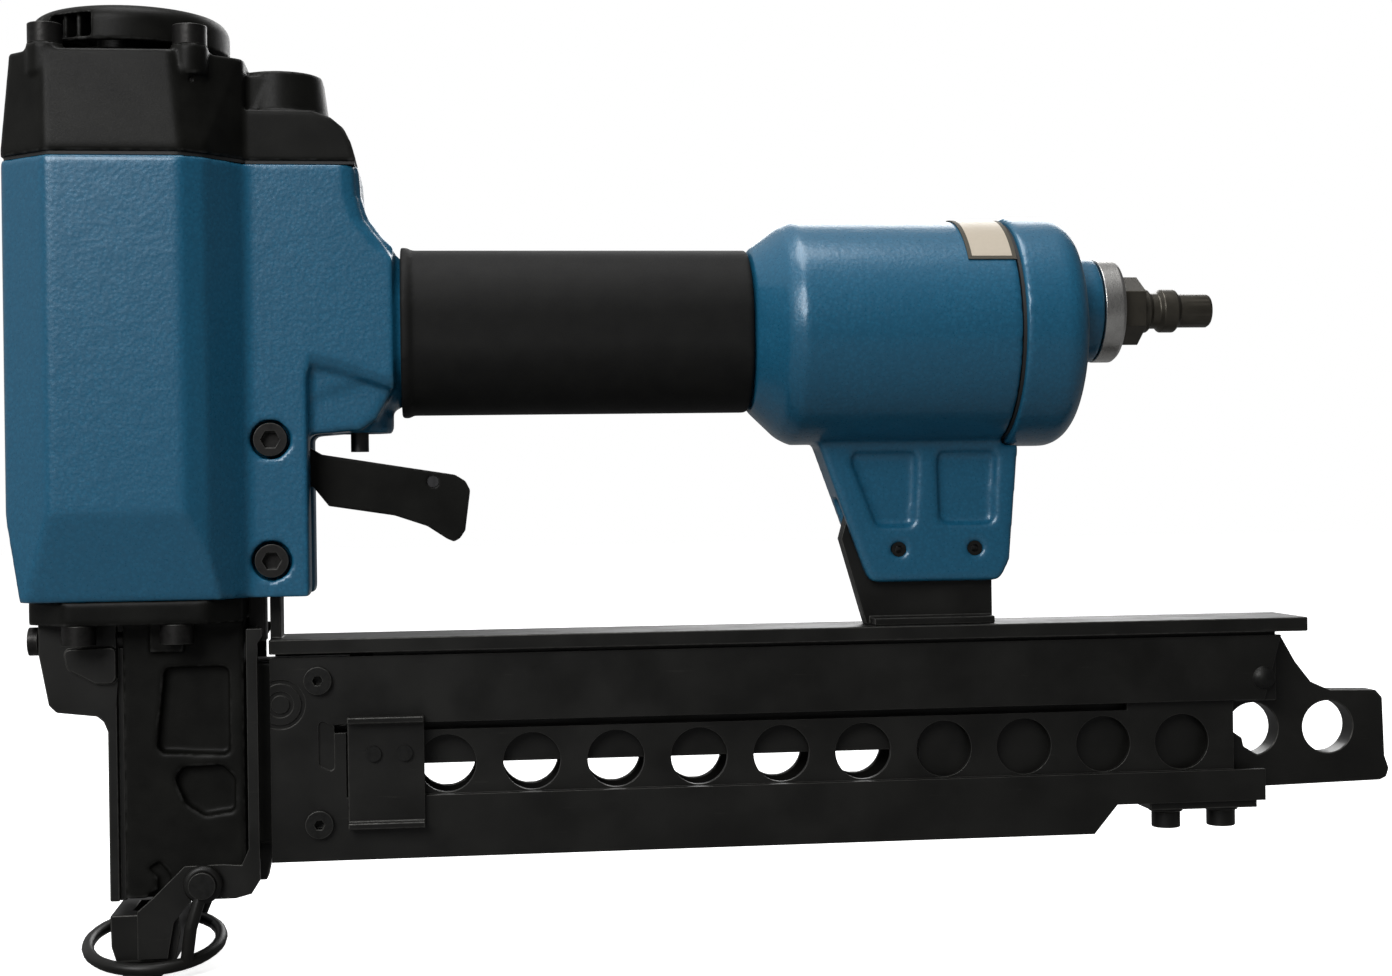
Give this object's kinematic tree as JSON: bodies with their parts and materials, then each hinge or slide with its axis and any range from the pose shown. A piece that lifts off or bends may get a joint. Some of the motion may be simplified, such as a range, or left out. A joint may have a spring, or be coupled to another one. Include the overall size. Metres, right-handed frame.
{
  "type": "pneumatic stapler",
  "caption": "Heavy pneumatic stapler: painted cylinder body with grip and air reservoir, trigger, safety contact foot and perforated side-plate magazine with spring pusher.",
  "frame": {"origin": "on the drive axis at the lowest point of the nose, level with the face of the contact foot", "axes": "+Z along the drive axis towards the cylinder cap, +X to the rear towards the air plug, left side of the tool at -Y"},
  "size_m": [0.3679, 0.062, 0.2447],
  "materials": {
    "paint": "hammertone gloss",
    "black_casting": "fine textured satin black",
    "gasket": "matte",
    "socket_screws": "black oxide",
    "honed_steel": "ground",
    "seal_rubber": "matte",
    "bumper_rubber": "matte",
    "grip_rubber": "matte fine grain",
    "bright_aluminium": "turned",
    "bronzed_steel": "dark bronze oxide",
    "label_blank": "satin",
    "brass": "turned",
    "spring_steel": "drawn wire",
    "blackened_steel": "black oxide with oil sheen",
    "dark_fasteners": "black oxide",
    "ground_steel": "ground",
    "trigger_black": "satin black",
    "valve_plastic": "moulded"
  },
  "bodies": {
    "tool_body": {"body_casting": "paint", "end_cap": "paint", "cylinder_cap": "black_casting", "nose_base": "black_casting", "cap_gasket": "gasket", "end_cap_seal": "gasket", "cap_screws": "socket_screws", "trigger_screws": "socket_screws", "flange_bolts": "socket_screws", "front_screws": "socket_screws", "cylinder_sleeve": "honed_steel", "sleeve_seals": "seal_rubber", "valve_seals": "seal_rubber", "rubber_bumper": "bumper_rubber", "grip_sleeve": "grip_rubber", "inlet_bushing": "bright_aluminium", "air_plug": "bronzed_steel", "label_plate": "label_blank", "valve_bush": "brass", "valve_spring": "spring_steel", "trigger_spring": "spring_steel", "head_spring": "spring_steel", "contact_spring": "spring_steel", "front_plate": "blackened_steel", "top_rail": "blackened_steel", "left_side_plate": "blackened_steel", "right_side_plate": "blackened_steel", "bottom_strip": "blackened_steel", "guide_rail": "blackened_steel", "tail_bracket": "blackened_steel", "tail_studs": "blackened_steel", "rear_bracket": "blackened_steel", "plate_screws": "dark_fasteners", "rail_rivets": "dark_fasteners", "bracket_pins": "dark_fasteners", "deflector_screw": "dark_fasteners", "spring_pin": "ground_steel"},
    "drive_piston": {"piston": "bright_aluminium", "piston_ring": "seal_rubber", "driver_blade": "honed_steel"},
    "main_valve": {"head_valve": "valve_plastic", "head_valve_ring": "seal_rubber"},
    "deflector": {"exhaust_deflector": "black_casting"},
    "trigger_lever": {"trigger": "trigger_black", "tappet_pin": "ground_steel"},
    "tappet": {"trigger_tappet": "ground_steel"},
    "stem": {"valve_stem": "ground_steel"},
    "safety_contact": {"contact_foot": "blackened_steel", "contact_arm": "blackened_steel", "contact_wire": "blackened_steel", "eye_screws": "dark_fasteners"},
    "staple_pusher": {"pusher": "blackened_steel", "pusher_handle": "blackened_steel", "handle_rivets": "dark_fasteners"},
    "spring_roll": {"pusher_spring": "spring_steel"}
  },
  "joints": [
    {"name": "piston_stroke", "type": "slide", "parent": "tool_body", "child": "drive_piston", "axis": [0, 0, -1], "range_m": [0, 0.082]},
    {"name": "main_valve_lift", "type": "slide", "parent": "tool_body", "child": "main_valve", "axis": [0, 0, 1], "range_m": [0, 0.0035], "stiffness_N_per_m": 4000, "springref_m": -0.002, "deforming": ["head_spring"]},
    {"name": "deflector_turn", "type": "hinge", "parent": "tool_body", "child": "deflector", "pos_m": [0, 0, 0.24], "axis": [0, 0, 1], "continuous": true},
    {"name": "trigger_pull", "type": "hinge", "parent": "tool_body", "child": "trigger_lever", "pos_m": [0.0353, 0, 0.136], "axis": [0, -1, 0], "range_deg": [0, 11.5], "stiffness_Nm_per_rad": 2, "springref_deg": -11.46},
    {"name": "stem_push", "type": "slide", "parent": "tool_body", "child": "stem", "axis": [0, 0, 1], "range_m": [0, 0.0026], "deforming": ["valve_spring"]},
    {"name": "contact_lift", "type": "slide", "parent": "tool_body", "child": "safety_contact", "axis": [0, 0, 1], "range_m": [0, 0.0032], "stiffness_N_per_m": 4000, "springref_m": -0.003, "deforming": ["contact_spring"]},
    {"name": "tappet_tilt", "type": "hinge", "parent": "trigger_lever", "child": "tappet", "pos_m": [0.0761, 0, 0.1249], "axis": [0, 1, 0], "range_deg": [0, 4.1]},
    {"name": "pusher_travel", "type": "slide", "parent": "tool_body", "child": "staple_pusher", "axis": [1, 0, 0], "range_m": [0, 0.19], "stiffness_N_per_m": 20, "springref_m": -0.5},
    {"name": "roll_turn", "type": "hinge", "parent": "tool_body", "child": "spring_roll", "pos_m": [0.048, 0, 0.041], "axis": [0, 1, 0], "range_deg": [0, 2200]}
  ],
  "couplings": [
    {"joint": "stem_push", "follows": "trigger_pull", "m_per_rad": 0.0115},
    {"joint": "tappet_tilt", "follows": "contact_lift", "rad_per_m": 21.7},
    {"joint": "roll_turn", "follows": "pusher_travel", "rad_per_m": 200}
  ]
}
